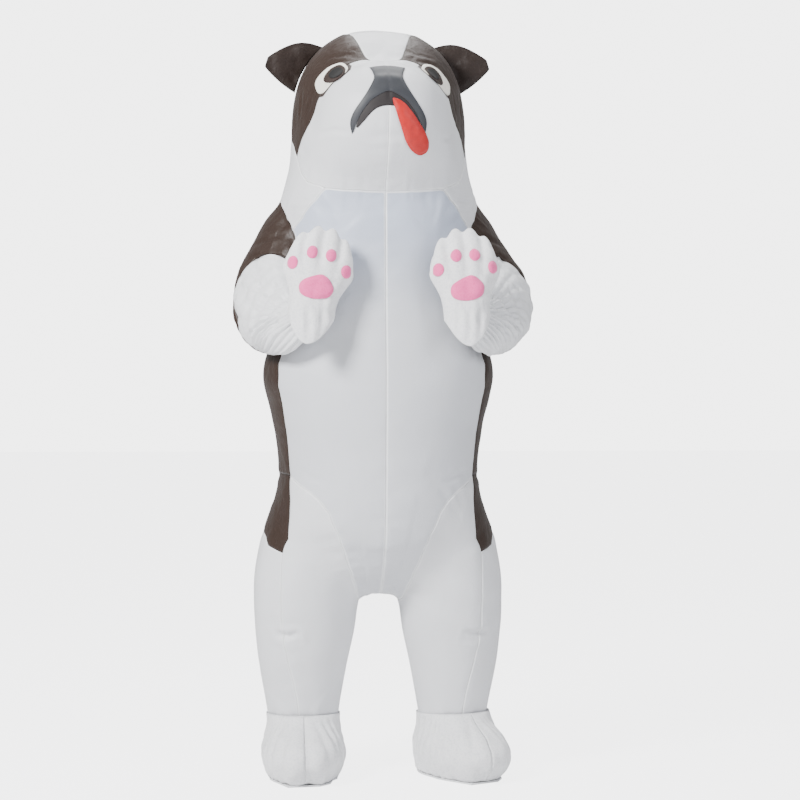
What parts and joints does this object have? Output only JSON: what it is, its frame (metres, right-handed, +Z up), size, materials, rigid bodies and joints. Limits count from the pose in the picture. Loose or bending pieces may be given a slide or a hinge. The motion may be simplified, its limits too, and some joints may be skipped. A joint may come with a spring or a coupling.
{
  "type": "inflatable dog costume",
  "caption": "Air-filled dog costume: hollow suit with built-on dog head and sleeves, separate plush paw gloves and plush paw shoe covers, held up by its wearer",
  "frame": {"origin": "inside the suit on its centre line at the height of the wearer's shoulders, 1.36 m above the soles", "axes": "+X to the wearer's left, -Y the way the dog faces, +Z up"},
  "size_m": [0.7486, 0.6086, 1.85],
  "materials": {
    "white_taffeta": "thin white polyester taffeta, slightly see-through",
    "brown_taffeta": "dark brown polyester taffeta, soft sheen",
    "white_plush": "short white plush",
    "pink_plush": "short pink plush",
    "grey_cloth": "dark grey woven cloth",
    "dark_cloth": "near-black woven cloth",
    "red_cloth": "red woven cloth",
    "eye_white": "off-white cloth",
    "brown_iris": "brown cloth",
    "black_cloth": "black cloth",
    "black_plastic": "black moulded plastic"
  },
  "bodies": {
    "root": {"belly_left": "white_taffeta", "belly_right": "white_taffeta", "shoulder_left": "white_taffeta", "shoulder_right": "white_taffeta", "leg_inner_left": "white_taffeta", "leg_inner_right": "white_taffeta", "leg_outer_left": "white_taffeta", "leg_outer_right": "white_taffeta", "cheek_left": "white_taffeta", "cheek_right": "white_taffeta", "forearm_left": "white_taffeta", "forearm_right": "white_taffeta", "blaze": "white_taffeta", "side_left": "brown_taffeta", "side_right": "brown_taffeta", "back_left": "brown_taffeta", "back_right": "brown_taffeta", "hip_left": "brown_taffeta", "hip_right": "brown_taffeta", "hood_left": "brown_taffeta", "hood_right": "brown_taffeta", "sleeve_left": "brown_taffeta", "sleeve_right": "brown_taffeta", "ear_front_left": "brown_taffeta", "ear_front_right": "brown_taffeta", "ear_back_left": "brown_taffeta", "ear_back_right": "brown_taffeta", "zip": "brown_taffeta", "glove_palm_left": "white_plush", "glove_palm_right": "white_plush", "glove_back_left": "white_plush", "glove_back_right": "white_plush", "boot_inner_left": "white_plush", "boot_inner_right": "white_plush", "boot_outer_left": "white_plush", "boot_outer_right": "white_plush", "palm_pad_left": "pink_plush", "palm_pad_right": "pink_plush", "toe_pad_left_1": "pink_plush", "toe_pad_left_2": "pink_plush", "toe_pad_left_3": "pink_plush", "toe_pad_left_4": "pink_plush", "toe_pad_right_1": "pink_plush", "toe_pad_right_2": "pink_plush", "toe_pad_right_3": "pink_plush", "toe_pad_right_4": "pink_plush", "nose": "grey_cloth", "sole_left": "grey_cloth", "sole_right": "grey_cloth", "mouth": "dark_cloth", "tongue": "red_cloth", "eye_left": "eye_white", "eye_right": "eye_white", "iris_left": "brown_iris", "iris_right": "brown_iris", "pupil_left": "black_cloth", "pupil_right": "black_cloth", "fan_ring": "black_plastic", "fan_guard": "black_plastic", "zip_slider": "black_plastic"}
  },
  "joints": []
}
